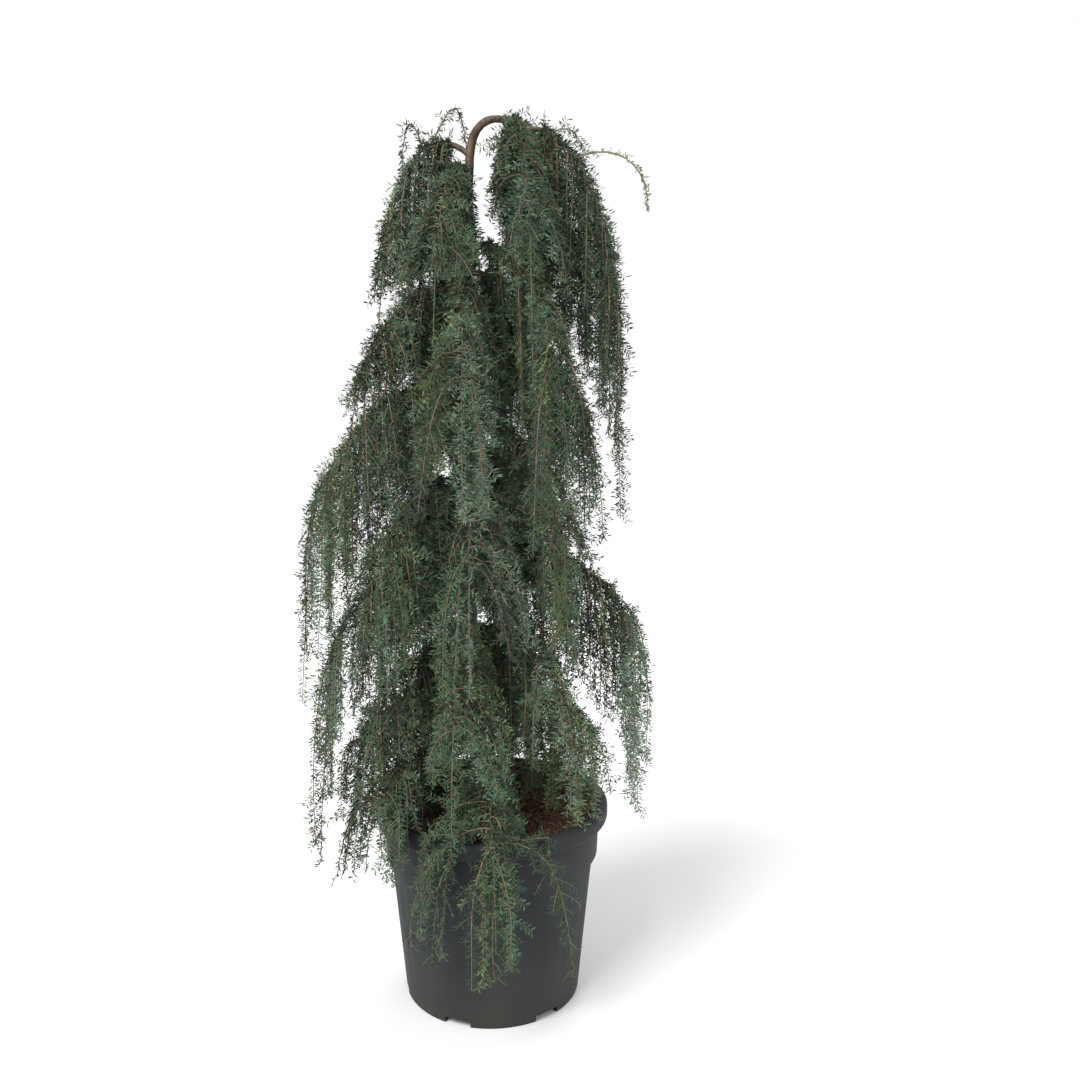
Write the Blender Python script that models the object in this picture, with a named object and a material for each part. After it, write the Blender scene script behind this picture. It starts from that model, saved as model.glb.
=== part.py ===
"""A weeping hemlock in its nursery pot: pot, compost, one trunk, tiers of boughs and hanging foliage.

Metres, +Z up. The origin is the middle of the pot's underside. +X is the viewer's right, +Y is away.
"""

import math
import random

import bmesh
import bpy
from mathutils import Vector

# Sizes of the pot
POT_HEIGHT = 0.3455
RIM_RADIUS = 0.200
LIP_HEIGHT = 0.031
LIP_PROUD = 0.0150
LIP_TOP = 0.0140
LIP_ROUND = 0.0110
COLLAR_HEIGHT = 0.064
COLLAR_TAPER = 0.0025
STEP = 0.0078
FOOT_RADIUS = 0.1515
WALL = 0.0030
FLOOR = 0.0042
FOOT_RING = 0.0130
DRAIN_HEIGHT = 0.0105
CENTRE_DISC = 0.1050
NOTCHES = 6
NOTCH_WIDTH = 0.046
NOTCH_HEIGHT = 0.0118
NOTCH_TURN = -106.0
POT_SIDES = 32

# Sizes of the compost: it is crowned in the middle and heaped at the back
SOIL_BELOW_RIM = 0.016
SOIL_CROWN = 0.008
SOIL_HEAP = 0.027
HEAP_AT = (0.062, 0.128)
HEAP_WIDTH = 0.075
SOIL_RINGS = (1.0, 0.82, 0.48)
TRUNK_SEAT = 0.036

# Air left between solids that touch
GAP = 0.0003

# The trunk's line up to its arch: how high above the compost, how far right and how far back
TRUNK_LINE = (
    (0.000, -0.022, 0.004),
    (0.090, -0.026, 0.002),
    (0.260, -0.033, -0.002),
    (0.450, -0.040, 0.002),
    (0.640, -0.036, 0.004),
    (0.830, -0.039, -0.001),
    (0.970, -0.037, 0.000),
    (1.080, -0.030, 0.001),
)
ARCH_RISE = 0.058
ARCH_REACH = 0.098
ARCH_FALL = 0.034
ARCH_STEPS = 6
TRUNK_RADIUS = 0.0125
TRUNK_NECK = 0.0070
ARCH_TIP_RADIUS = 0.0040
FLARE = 0.0125
FLARE_HEIGHT = 0.030
FLARE_LOBES = 3
TRUNK_SIDES = 9

# How a bough is shaped: it is the first share of its limb, and the mass is the rest
BOUGH_SHARE = 0.22
BOUGH_SIDES = 5
BOUGH_STEPS = 4
BOUGH_RADIUS = 0.0052
BOUGH_TIP = 0.0031

# The space of a mass: how far it reaches past its limb, and how clear of others its foliage stays
HEADROOM = 0.026
OVERHANG = 0.020
CLEAR = 0.0022
TRUNK_CLEAR = 0.008

# How a shoot's toothed blade is shaped, each tooth a side twig
TOOTH_PITCH = 0.037
TOOTH_WIDTH = 0.027
TOOTH_RAKE = 0.60
NECK_WIDTH = 0.0060
STEM_RADIUS = 0.0027
RIDGE = 0.0042
BLADE_EDGE = 0.0010
WHIP_WIDTH = 0.0085
SHORTEST = 0.070

# How the shoots of a mass are spread, and how far apart two blades stay
GOLDEN = 0.6180
SILVER = 0.7549
TRIES = 7
APART = 0.044
SIDE_APART = 0.031
FACE_APART = 0.011

# Each limb: its name, how far up the trunk it starts, its heading in degrees, reach, rise and drop,
# the half angle of its own space, and its count of side shoots. A heading of 0 is to the right and
# 270 is to the front.
LIMB_TABLE = (
    ("crown_left", 1.075, 178, 0.155, 0.062, 0.345, 50, 11),
    ("crown_front", 1.035, 256, 0.145, 0.050, 0.300, 42, 11),
    ("crown_back", 1.020, 110, 0.155, 0.050, 0.300, 34, 10),
    ("arch_front", 1.175, 290, 0.140, 0.020, 0.320, 50, 11),
    ("arch_right", 1.195, 350, 0.170, 0.024, 0.420, 30, 10),
    ("arch_back", 1.165, 56, 0.155, 0.022, 0.340, 50, 10),
    ("upper_front", 0.880, 276, 0.195, 0.034, 0.360, 36, 11),
    ("upper_front_right", 0.930, 320, 0.230, 0.034, 0.400, 30, 11),
    ("upper_right", 0.800, 4, 0.225, 0.030, 0.340, 32, 11),
    ("upper_back", 0.890, 56, 0.210, 0.030, 0.350, 38, 10),
    ("upper_back_left", 0.830, 118, 0.205, 0.030, 0.340, 40, 11),
    ("upper_left", 0.860, 210, 0.205, 0.030, 0.330, 40, 12),
    ("middle_left", 0.710, 177, 0.275, 0.026, 0.370, 34, 12),
    ("middle_front_left", 0.560, 228, 0.225, 0.026, 0.350, 32, 11),
    ("middle_front", 0.610, 278, 0.215, 0.026, 0.360, 36, 11),
    ("middle_front_right", 0.650, 322, 0.235, 0.030, 0.360, 32, 11),
    ("lower_right", 0.450, 358, 0.310, 0.028, 0.290, 32, 13),
    ("middle_back", 0.600, 52, 0.240, 0.028, 0.360, 40, 11),
    ("middle_back_left", 0.540, 118, 0.240, 0.028, 0.360, 40, 11),
    ("lower_left", 0.430, 180, 0.265, 0.024, 0.370, 36, 11),
    ("lower_front_left", 0.290, 226, 0.225, 0.022, 0.260, 32, 10),
    ("lower_front", 0.320, 270, 0.220, 0.022, 0.290, 36, 11),
    ("lower_front_right", 0.360, 318, 0.245, 0.024, 0.300, 32, 10),
    ("base_right", 0.200, 8, 0.235, 0.020, 0.190, 34, 7),
    ("base_back", 0.290, 88, 0.240, 0.022, 0.260, 66, 12),
    ("base_left", 0.170, 184, 0.230, 0.024, 0.170, 34, 10),
    ("skirt_left", 0.110, 232, 0.245, 0.026, 0.150, 28, 11),
    ("skirt_front", 0.105, 284, 0.262, 0.028, 0.250, 36, 12),
)

# Thin whips that stand up before they bend over: the limb, where on it, heading in degrees, reach,
# rise and drop
WHIP_TABLE = (
    ("crown_left", 0.26, 12, 0.055, 0.060, 0.016),
    ("crown_left", 0.32, 172, 0.036, 0.050, 0.034),
    ("arch_right", 0.36, 6, 0.115, 0.022, 0.080),
    ("arch_back", 0.34, 12, 0.080, 0.034, 0.020),
)

BARK = (0.16, 0.10, 0.06)
NEEDLES = (0.05, 0.10, 0.05)
PLASTIC = (0.045, 0.050, 0.055)
SOIL = (0.09, 0.04, 0.025)

UP = Vector((0, 0, 1))


def heading(degrees):
    """The level direction of a heading."""
    turn = math.radians(degrees)
    return Vector((math.cos(turn), math.sin(turn), 0))


def arch(share, reach, rise, drop):
    """How far out and up a limb or shoot is at a share of its way, rising first and hanging at its end."""
    angle = share * math.pi / 2
    return reach * math.sin(angle), rise * math.sin(math.pi * share) - drop * (1 - math.cos(angle))


# The ground under the plant


def soil_height(x, y):
    """How high the compost stands at a place."""
    edge = min(1.0, math.hypot(x, y) / (RIM_RADIUS - LIP_PROUD))
    heap = math.exp(-((x - HEAP_AT[0]) ** 2 + (y - HEAP_AT[1]) ** 2) / HEAP_WIDTH**2)
    mound = SOIL_CROWN * (1 - edge**2) + SOIL_HEAP * heap * (1 - edge**8)
    return POT_HEIGHT - SOIL_BELOW_RIM + mound


SEAT = Vector((TRUNK_LINE[0][1], TRUNK_LINE[0][2], soil_height(TRUNK_LINE[0][1], TRUNK_LINE[0][2])))


# The trunk's line


def trunk_line():
    """Points up the trunk and over its arch, each with the trunk's radius there."""
    line = []
    top_height = TRUNK_LINE[-1][0]
    for height, x, y in TRUNK_LINE:
        radius = TRUNK_RADIUS + (TRUNK_NECK - TRUNK_RADIUS) * height / top_height
        line.append((Vector((x, y, SEAT.z + height)), radius))
    neck = line[-1][0]
    for step in range(1, ARCH_STEPS + 1):
        part = step / ARCH_STEPS
        forward = ARCH_REACH * (1 - math.cos(math.pi * part)) / 2
        lift = ARCH_RISE * math.sin(math.pi * part) - ARCH_FALL * part**2
        radius = TRUNK_NECK + (ARCH_TIP_RADIUS - TRUNK_NECK) * part
        line.append((neck + Vector((forward, 0, lift)), radius))
    return line


TRUNK = trunk_line()


def trunk_at(distance):
    """The middle of the trunk at a distance along it from the compost."""
    for (low, _), (high, _) in zip(TRUNK, TRUNK[1:]):
        length = (high - low).length
        if distance <= length:
            return low.lerp(high, distance / length)
        distance -= length
    return TRUNK[-1][0]


def off_trunk(point):
    """Whether a point is clear of the trunk."""
    for (low, radius), (high, _) in zip(TRUNK, TRUNK[1:]):
        along = high - low
        part = min(1.0, max(0.0, (point - low).dot(along) / along.length_squared))
        if (point - low - along * part).length < radius + TRUNK_CLEAR:
            return False
    return True


# Limbs, and the space that each one's mass keeps to


class Limb:
    """A bough and the stem of its mass, which share one arching line from the trunk to the lowest tip."""

    def __init__(self, row):
        self.name, start, self.turn, self.reach, self.rise, self.drop, self.spread, self.shoots = row
        self.base = trunk_at(start)
        self.out = heading(self.turn)

    def point(self, share):
        """A point of the limb's line, from the trunk at 0 to its lowest tip at 1."""
        away, lift = arch(share, self.reach, self.rise, self.drop)
        return self.base + self.out * away + UP * lift

    def covers(self, point, grow):
        """Whether a point is under this limb's umbrella, grown on every side."""
        from_base = point - self.base
        radius = math.hypot(from_base.x, from_base.y)
        edge = self.reach + OVERHANG + grow
        if radius >= edge or self.out.dot(from_base) < 0:
            return False
        across = abs(self.out.cross(UP).dot(from_base))
        if across > radius * math.sin(math.radians(self.spread)) + grow:
            return False
        share = math.asin(radius / edge) * 2 / math.pi
        return from_base.z < arch(share, edge, self.rise, self.drop)[1] + HEADROOM + grow


LIMBS = [Limb(row) for row in LIMB_TABLE]


def in_own_space(limb, point, is_whip):
    """Whether a point is free for a mass: under its own umbrella and no lower one, off the trunk and pot."""
    if not is_whip and not limb.covers(point, -CLEAR):
        return False
    for other in LIMBS:
        if other.base.z < limb.base.z and other.covers(point, CLEAR):
            return False
    if math.hypot(point.x, point.y) < RIM_RADIUS + CLEAR:
        if point.z < max(POT_HEIGHT, soil_height(point.x, point.y)) + CLEAR:
            return False
    return off_trunk(point)


# Shoots


class Shoot:
    """A shoot leaves its stem towards a heading and bends until it hangs. Its blade is rings of 3 points."""

    def __init__(self, base, turn, size, width, outwards):
        self.base, self.width, self.outwards = base, width, outwards
        self.reach, self.rise, self.drop = size
        self.out = heading(turn)
        self.rings = []

    def point(self, share):
        away, lift = arch(share, self.reach, self.rise, self.drop)
        return self.base + self.out * away + UP * lift

    def frame(self, share):
        """The shoot's direction, its side and its face, which looks up at first and then outwards."""
        step = 0.01
        along = (self.point(share + step) - self.point(share - step)).normalized()
        face = self.outwards + UP * 0.7
        face = (face - along * face.dot(along)).normalized()
        return along, face.cross(along), face

    def root_ring(self, share):
        """The small ring that is sunk into the stem, or that meets the bough."""
        middle = self.point(share)
        _, side, face = self.frame(share)
        flank = side * STEM_RADIUS * 0.9
        foot = middle - face * STEM_RADIUS * 0.5
        return [foot - flank, middle + face * STEM_RADIUS, foot + flank]

    def tooth_ring(self, share, part, tooth_on_left):
        """A ring with a tooth on one edge, raked towards the tip."""
        middle = self.point(share)
        along, side, face = self.frame(share)
        tooth = max(NECK_WIDTH, self.width * min(1.0, 0.45 + 1.6 * part) * (1 - 0.45 * part))
        left, right = (tooth, NECK_WIDTH) if tooth_on_left else (NECK_WIDTH, tooth)
        rake = along * TOOTH_RAKE * TOOTH_PITCH / TOOTH_WIDTH
        back = middle - face * BLADE_EDGE
        ridge = middle + face * RIDGE * (1 - 0.5 * part)
        return [back + (rake - side) * left, ridge, back + (rake + side) * right]

    def grow(self, limb, start, teeth, taken, is_whip=False):
        """Grows the blade a tooth at a time and says whether all of it fitted in its mass's space."""
        self.rings = [self.root_ring(start)]
        for index in range(1, teeth):
            part = index / teeth
            share = start + (1 - start) * part
            ring = self.tooth_ring(share, part, index % 2)
            if not all(in_own_space(limb, point, is_whip) for point in ring):
                return False
            if index > 1 and self.is_crowded(share, taken):
                return False
            self.rings.append(ring)
        return True

    def is_crowded(self, share, taken):
        """Whether another blade's ridge is so near that the two would cut each other."""
        middle = self.point(share)
        _, side, face = self.frame(share)
        for other in taken:
            offset = other - middle
            if offset.length < APART and abs(offset.dot(side)) < SIDE_APART:
                if abs(offset.dot(face)) < FACE_APART:
                    return True
        return False


def shoots_of(limb):
    """The stem of a mass and its side shoots, by a seeded rule.

    The shoots hang evenly through the mass's space. One that would leave it or cut a neighbour is tried
    shorter, and skipped in the end.
    """
    luck = random.Random(f"{limb.shoots} shoots of {limb.name}")
    stem = Shoot(limb.base, limb.turn, (limb.reach, limb.rise, limb.drop), TOOTH_WIDTH, limb.out)
    stem.grow(limb, BOUGH_SHARE, round((limb.reach * 0.75 + limb.drop * 0.85) / TOOTH_PITCH), [])
    found = [stem]
    taken = [ring[1] for ring in stem.rings[1:]]
    first = luck.random()
    for index in range(limb.shoots * TRIES):
        if len(found) > limb.shoots:
            break
        aside = limb.spread * (2 * ((first + index * GOLDEN) % 1) - 1) * 0.92
        away = 0.36 + 0.66 * ((first + index * SILVER) % 1)
        outwards = heading(limb.turn + aside)
        leaves = BOUGH_SHARE + 0.02 + 0.88 * max(0.0, away - 0.42)
        base = limb.point(leaves)
        way = limb.base + outwards * limb.reach * away - base
        reach, turn = math.hypot(way.x, way.y), math.degrees(math.atan2(way.y, way.x))
        drop = limb.drop * luck.uniform(0.75, 1.00)
        rise = luck.uniform(0.000, 0.012)
        width = TOOTH_WIDTH * luck.uniform(0.80, 1.10)
        while drop > SHORTEST:
            shoot = Shoot(base, turn, (reach, rise, drop), width, outwards)
            if shoot.grow(limb, 0.0, max(3, round((drop + reach * 0.5) / TOOTH_PITCH)), taken):
                found.append(shoot)
                taken += [ring[1] for ring in shoot.rings[1:]]
                break
            drop *= 0.85
    for name, share, turn, reach, rise, drop in WHIP_TABLE:
        if name == limb.name:
            whip = Shoot(limb.point(share), turn, (reach, rise, drop), WHIP_WIDTH, heading(turn))
            whip.grow(limb, 0.0, round((reach + rise + drop) / TOOTH_PITCH) + 2, [], is_whip=True)
            found.append(whip)
    return found


# Meshes


def mesh_object(name, points, faces, colour, roughness):
    """An object with its own material, its faces turned outwards."""
    mesh = bpy.data.meshes.new(name)
    mesh.from_pydata([tuple(point) for point in points], [], faces)
    work = bmesh.new()
    work.from_mesh(mesh)
    bmesh.ops.recalc_face_normals(work, faces=work.faces)
    work.to_mesh(mesh)
    work.free()
    made = bpy.data.objects.new(name, mesh)
    bpy.context.scene.collection.objects.link(made)
    material = bpy.data.materials.new(name)
    material.use_nodes = True
    surface = material.node_tree.nodes["Principled BSDF"]
    surface.inputs["Base Color"].default_value = (*colour, 1)
    surface.inputs["Roughness"].default_value = roughness
    surface.inputs["Metallic"].default_value = 0
    mesh.materials.append(material)
    return made


def remove_objects(objects):
    for gone in list(objects):
        bpy.data.objects.remove(gone, do_unlink=True)


def combine(made, operation, operands, solver="EXACT"):
    """Joins or cuts an object with a collection's objects by one Boolean, which is applied."""
    change = made.modifiers.new(operation, "BOOLEAN")
    change.operation = operation
    change.solver = solver
    change.operand_type = "COLLECTION"
    change.collection = operands
    view = bpy.context.evaluated_depsgraph_get()
    mesh = bpy.data.meshes.new_from_object(made.evaluated_get(view))
    made.modifiers.clear()
    made.data = mesh
    remove_objects(operands.objects)


def group_of(objects, name):
    """Moves objects to a collection of their own."""
    group = bpy.data.collections.new(name)
    bpy.context.scene.collection.children.link(group)
    for each in objects:
        for home in list(each.users_collection):
            home.objects.unlink(each)
        group.objects.link(each)
    return group


def circle(radius, height, sides, middle=(0, 0)):
    """A level ring of points."""
    turns = [2 * math.pi * side / sides for side in range(sides)]
    return [(middle[0] + radius * math.cos(t), middle[1] + radius * math.sin(t), height) for t in turns]


def ring_faces(rings, sides):
    """Quads between rings of points, with a flat cap on the first and the last."""
    faces = [list(range(sides))[::-1]]
    for ring in range(rings - 1):
        for side in range(sides):
            after = (side + 1) % sides
            low, high = ring * sides, (ring + 1) * sides
            faces.append([low + side, low + after, high + after, high + side])
    faces.append([(rings - 1) * sides + side for side in range(sides)])
    return faces


def tube(line, sides, foot_faces=None):
    """The points of a tapering limb along a line of middles and radii, its foot cut square to foot_faces."""
    points = []
    across = None
    for index, (middle, radius) in enumerate(line):
        before = line[max(0, index - 1)][0]
        after = line[min(len(line) - 1, index + 1)][0]
        along = (after - before).normalized()
        if index == 0 and foot_faces:
            along = foot_faces
        if across is None:
            across = along.orthogonal().normalized()
        across = (across - along * across.dot(along)).normalized()
        other = along.cross(across)
        for side in range(sides):
            turn = 2 * math.pi * side / sides
            points.append(middle + (across * math.cos(turn) + other * math.sin(turn)) * radius)
    return points


# The pot


def inner_outline():
    """The inside of the pot as radius and height, from under the lip down to the middle of its floor."""
    lip_foot = POT_HEIGHT - LIP_HEIGHT
    collar_top = RIM_RADIUS - LIP_PROUD
    body_top = collar_top - COLLAR_TAPER - STEP
    floor_slope = FLOOR * 0.6
    return [
        (RIM_RADIUS - LIP_TOP, POT_HEIGHT - 0.0015),
        (collar_top - WALL, lip_foot),
        (body_top - WALL, lip_foot - COLLAR_HEIGHT - 2 * WALL),
        (FOOT_RADIUS - WALL, DRAIN_HEIGHT + FLOOR),
        (CENTRE_DISC - floor_slope + 0.002, DRAIN_HEIGHT + FLOOR),
        (CENTRE_DISC - floor_slope, FLOOR),
    ]


def outer_outline():
    """The outside of the pot as radius and height, from the middle of its underside up and over the lip."""
    lip_foot = POT_HEIGHT - LIP_HEIGHT
    collar_top = RIM_RADIUS - LIP_PROUD
    collar_foot = collar_top - COLLAR_TAPER
    step_height = lip_foot - COLLAR_HEIGHT
    channel_edge = FOOT_RADIUS - FOOT_RING
    outline = [
        (CENTRE_DISC, 0),
        (CENTRE_DISC + 0.002, DRAIN_HEIGHT),
        (channel_edge, DRAIN_HEIGHT),
        (channel_edge + 0.001, 0),
        (FOOT_RADIUS - 0.0015, 0),
        (FOOT_RADIUS, 0.002),
        (collar_foot - STEP, step_height - 0.003),
        (collar_foot, step_height),
        (collar_top, lip_foot),
        (RIM_RADIUS - 0.004, lip_foot + 0.001),
        (RIM_RADIUS, lip_foot + 0.006),
    ]
    for turn in (0, 30, 60, 90):
        away = LIP_ROUND * math.cos(math.radians(turn))
        lift = LIP_ROUND * math.sin(math.radians(turn))
        outline.append((RIM_RADIUS - LIP_ROUND + away, POT_HEIGHT - LIP_ROUND + lift))
    return outline


def pot():
    """The moulded pot: a rolled lip, a collar, a tapering body, and a foot ring cut by notches."""
    outline = outer_outline() + inner_outline()
    points = []
    for radius, height in outline:
        points += circle(radius, height, POT_SIDES)
    made = mesh_object("pot", points, ring_faces(len(outline), POT_SIDES), PLASTIC, 0.55)
    cutters = []
    for index in range(NOTCHES):
        turn = math.radians(NOTCH_TURN + 360 * index / NOTCHES)
        middle = FOOT_RADIUS - FOOT_RING * 0.45
        bpy.ops.mesh.primitive_cube_add(size=1)
        cutter = bpy.context.object
        cutter.scale = (FOOT_RING * 2, NOTCH_WIDTH, NOTCH_HEIGHT * 2)
        cutter.rotation_euler = (0, 0, turn)
        cutter.location = (middle * math.cos(turn), middle * math.sin(turn), 0)
        cutters.append(cutter)
    combine(made, "DIFFERENCE", group_of(cutters, "notches"))


# The compost


def compost():
    """The compost that fills the pot, a hair clear of its wall, with a level seat for the trunk."""
    _, _, wall_top, wall_foot, channel, disc = inner_outline()
    points = []
    for radius, height in (disc, channel, wall_foot, wall_top):
        points += circle(radius - GAP, height + GAP, POT_SIDES)
    lip, collar = inner_outline()[:2]
    for edge in SOIL_RINGS:
        for x, y, _ in circle(1, 0, POT_SIDES):
            height = soil_height(collar[0] * x, collar[0] * y)
            part = (height - collar[1]) / (lip[1] - collar[1])
            radius = (collar[0] + (lip[0] - collar[0]) * part - 2 * GAP) * edge
            points.append((radius * x, radius * y, soil_height(radius * x, radius * y)))
    points += circle(TRUNK_SEAT, SEAT.z - GAP, POT_SIDES, (SEAT.x, SEAT.y))
    rings = 4 + len(SOIL_RINGS) + 1
    mesh_object("compost", points, ring_faces(rings, POT_SIDES), SOIL, 0.95)


# The trunk and the boughs


def trunk_mesh(swell):
    """The trunk's points and faces, swollen a little, with its foot flared out in lobes."""
    line = [(SEAT + UP * height, TRUNK_RADIUS) for height in (0, FLARE_HEIGHT * 0.35, FLARE_HEIGHT)]
    line = [(middle, radius + swell) for middle, radius in line + TRUNK[1:]]
    points = tube(line, TRUNK_SIDES, UP)
    for ring, share in ((0, 1.0), (1, 0.45)):
        for side in range(TRUNK_SIDES):
            index = ring * TRUNK_SIDES + side
            lobe = 1 + 0.30 * math.cos(FLARE_LOBES * 2 * math.pi * side / TRUNK_SIDES)
            away = (points[index] - line[ring][0]).normalized()
            points[index] = points[index] + away * FLARE * share * lobe
    return points, ring_faces(len(line), TRUNK_SIDES)


def trunk():
    """The trunk, cut flat where it stands on the compost, up to the tip of its arch."""
    points, faces = trunk_mesh(0)
    mesh_object("trunk", points, faces, BARK, 0.85)


def bough(limb):
    """One tapering bough from the trunk, cut clear of it, to where it enters its mass."""
    line = []
    for step in range(BOUGH_STEPS + 1):
        part = step / BOUGH_STEPS
        line.append((limb.point(BOUGH_SHARE * part), BOUGH_RADIUS + (BOUGH_TIP - BOUGH_RADIUS) * part))
    faces = ring_faces(len(line), BOUGH_SIDES)
    made = mesh_object("bough_" + limb.name, tube(line, BOUGH_SIDES), faces, BARK, 0.85)
    cutter = mesh_object("swollen_trunk", *trunk_mesh(GAP), BARK, 0.85)
    combine(made, "DIFFERENCE", group_of([cutter], "cutters"))


# The masses of foliage


def blade(shoot, name):
    """A closed blade through a shoot's rings, drawn out to a point at its tip."""
    points = [point for ring in shoot.rings[:-1] for point in ring]
    tip = len(points)
    points.append(sum(shoot.rings[-1], Vector()) / 3)
    faces = [[2, 1, 0]]
    for low in range(0, tip - 3, 3):
        for side in range(3):
            after = (side + 1) % 3
            faces.append([low + side, low + after, low + 3 + after])
            faces.append([low + side, low + 3 + after, low + 3 + side])
    faces += [[tip - 3 + side, tip - 3 + (side + 1) % 3, tip] for side in range(3)]
    return mesh_object(name, points, faces, NEEDLES, 0.6)


def keep_outer_shell(made):
    """Keeps the largest shell of a joined mass: sealed hollows are filled and loose scraps dropped."""
    work = bmesh.new()
    work.from_mesh(made.data)
    bmesh.ops.triangulate(work, faces=work.faces)
    unseen = set(work.verts)
    shells = []
    while unseen:
        front = [unseen.pop()]
        shell = []
        while front:
            vertex = front.pop()
            shell.append(vertex)
            reached = [edge.other_vert(vertex) for edge in vertex.link_edges]
            reached = [far for far in reached if far in unseen]
            unseen.difference_update(reached)
            front += reached
        shells.append(shell)
    shells.sort(key=len)
    for shell in shells[:-1]:
        bmesh.ops.delete(work, geom=shell, context="VERTS")
    work.to_mesh(made.data)
    work.free()


def foliage(limb):
    """The mass at a bough's end: its stem, which meets the bough's tip, and its side shoots in one solid."""
    name = "foliage_" + limb.name
    stem, *others = shoots_of(limb)
    joint = limb.point(BOUGH_SHARE)
    along = (limb.point(BOUGH_SHARE + 0.01) - limb.point(BOUGH_SHARE - 0.01)).normalized()
    stem.rings[0] = [point + along * (GAP - (point - joint).dot(along)) for point in stem.rings[0]]
    made = blade(stem, name)
    blades = [blade(shoot, f"{name}_{index}") for index, shoot in enumerate(others)]
    combine(made, "UNION", group_of(blades, name), solver="MANIFOLD")
    keep_outer_shell(made)


remove_objects(bpy.data.objects)
pot()
compost()
trunk()
for each_limb in LIMBS:
    bough(each_limb)
    foliage(each_limb)
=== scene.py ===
"""The looks of a weeping hemlock in its nursery pot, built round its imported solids. Metres, +Z up."""

import math

import bpy
import numpy as np
from mathutils import Matrix, Vector, noise


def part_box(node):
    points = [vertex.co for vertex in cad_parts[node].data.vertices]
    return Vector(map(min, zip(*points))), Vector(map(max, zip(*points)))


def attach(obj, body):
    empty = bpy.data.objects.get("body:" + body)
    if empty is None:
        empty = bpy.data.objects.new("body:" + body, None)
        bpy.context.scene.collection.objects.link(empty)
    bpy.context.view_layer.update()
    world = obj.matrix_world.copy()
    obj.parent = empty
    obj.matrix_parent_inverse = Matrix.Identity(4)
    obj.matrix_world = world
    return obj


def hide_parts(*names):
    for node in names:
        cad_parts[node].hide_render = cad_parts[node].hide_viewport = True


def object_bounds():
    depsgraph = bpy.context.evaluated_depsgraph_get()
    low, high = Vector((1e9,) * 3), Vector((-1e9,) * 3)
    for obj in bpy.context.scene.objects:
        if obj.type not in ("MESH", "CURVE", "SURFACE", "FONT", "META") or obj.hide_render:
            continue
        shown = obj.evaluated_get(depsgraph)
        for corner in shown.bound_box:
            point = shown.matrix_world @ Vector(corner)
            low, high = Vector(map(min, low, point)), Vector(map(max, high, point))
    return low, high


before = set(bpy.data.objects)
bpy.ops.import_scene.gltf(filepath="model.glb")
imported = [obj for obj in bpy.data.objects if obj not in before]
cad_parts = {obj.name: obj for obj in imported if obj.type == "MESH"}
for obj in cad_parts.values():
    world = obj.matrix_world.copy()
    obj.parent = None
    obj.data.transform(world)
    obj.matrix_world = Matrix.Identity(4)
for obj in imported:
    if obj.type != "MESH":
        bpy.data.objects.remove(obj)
cad_low, cad_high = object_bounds()

# The pot
# A round nursery pot, moulded in one piece from dark recycled plastic. Its lip is rolled over, its
# collar steps in to a tapering body with shallow flutes, and its foot ring is cut by drain notches.

POT_LOW, POT_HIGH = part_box("pot")
POT_HEIGHT = POT_HIGH.z - POT_LOW.z
RIM_RADIUS = (POT_HIGH.x - POT_LOW.x) / 2
FOOT_RADIUS = RIM_RADIUS * 0.7575
WALL = 0.0030
LIP_HEIGHT = 0.031
LIP_PROUD = 0.0150
LIP_ROUND = 0.0110
COLLAR_HEIGHT = 0.064
STEP = 0.0078
FLOOR = 0.0147
FLOOR_RADIUS = 0.107
FOOT_RING = 0.0130
FOOT_ROUND = 0.002
CHANNEL_HEIGHT = 0.0105
COLLAR_DRAFT = 0.0025
BODY_RINGS = 24
LIP_RINGS = 7
NOTCHES = 6
NOTCH_TURN = math.radians(-106)
NOTCH_SIZE = (0.026, 0.046, 0.0236)
NOTCH_INSET = 0.45
POT_SIDES = 180
FLUTES = 20
FLUTE_DEPTH = 0.0011
FLUTE_TOP = 0.225
FLUTE_TOP_FADE = 0.01
FLUTE_FOOT = 0.040
FLUTE_FOOT_FADE = 0.05
POT_DARK = (0.014, 0.017, 0.020)
POT_PALE = (0.022, 0.026, 0.030)
DUST = (0.050, 0.045, 0.030)
DUST_HEIGHT = 0.16
MERGE = 0.00001


def mesh_object(name, points, faces, smooth=True):
    """A mesh object from arrays of points and of faces that all have as many corners."""
    points, faces = np.asarray(points, np.float32), np.asarray(faces, np.int32)
    mesh = bpy.data.meshes.new(name)
    corners = faces.shape[1]
    mesh.vertices.add(len(points))
    mesh.vertices.foreach_set("co", points.ravel())
    mesh.loops.add(faces.size)
    mesh.loops.foreach_set("vertex_index", faces.ravel())
    mesh.polygons.add(len(faces))
    mesh.polygons.foreach_set("loop_start", np.arange(0, faces.size, corners, dtype=np.int32))
    mesh.update(calc_edges=True)
    mesh.validate()
    if smooth:
        mesh.shade_smooth()
    made = bpy.data.objects.new(name, mesh)
    bpy.context.scene.collection.objects.link(made)
    return made


def grid_faces(rings, sides):
    """Quads between closed rings of points."""
    ring, side = np.meshgrid(np.arange(rings - 1), np.arange(sides), indexing="ij")
    after = (side + 1) % sides
    low, high = ring * sides, (ring + 1) * sides
    return np.stack([low + side, low + after, high + after, high + side], -1).reshape(-1, 4)


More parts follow.
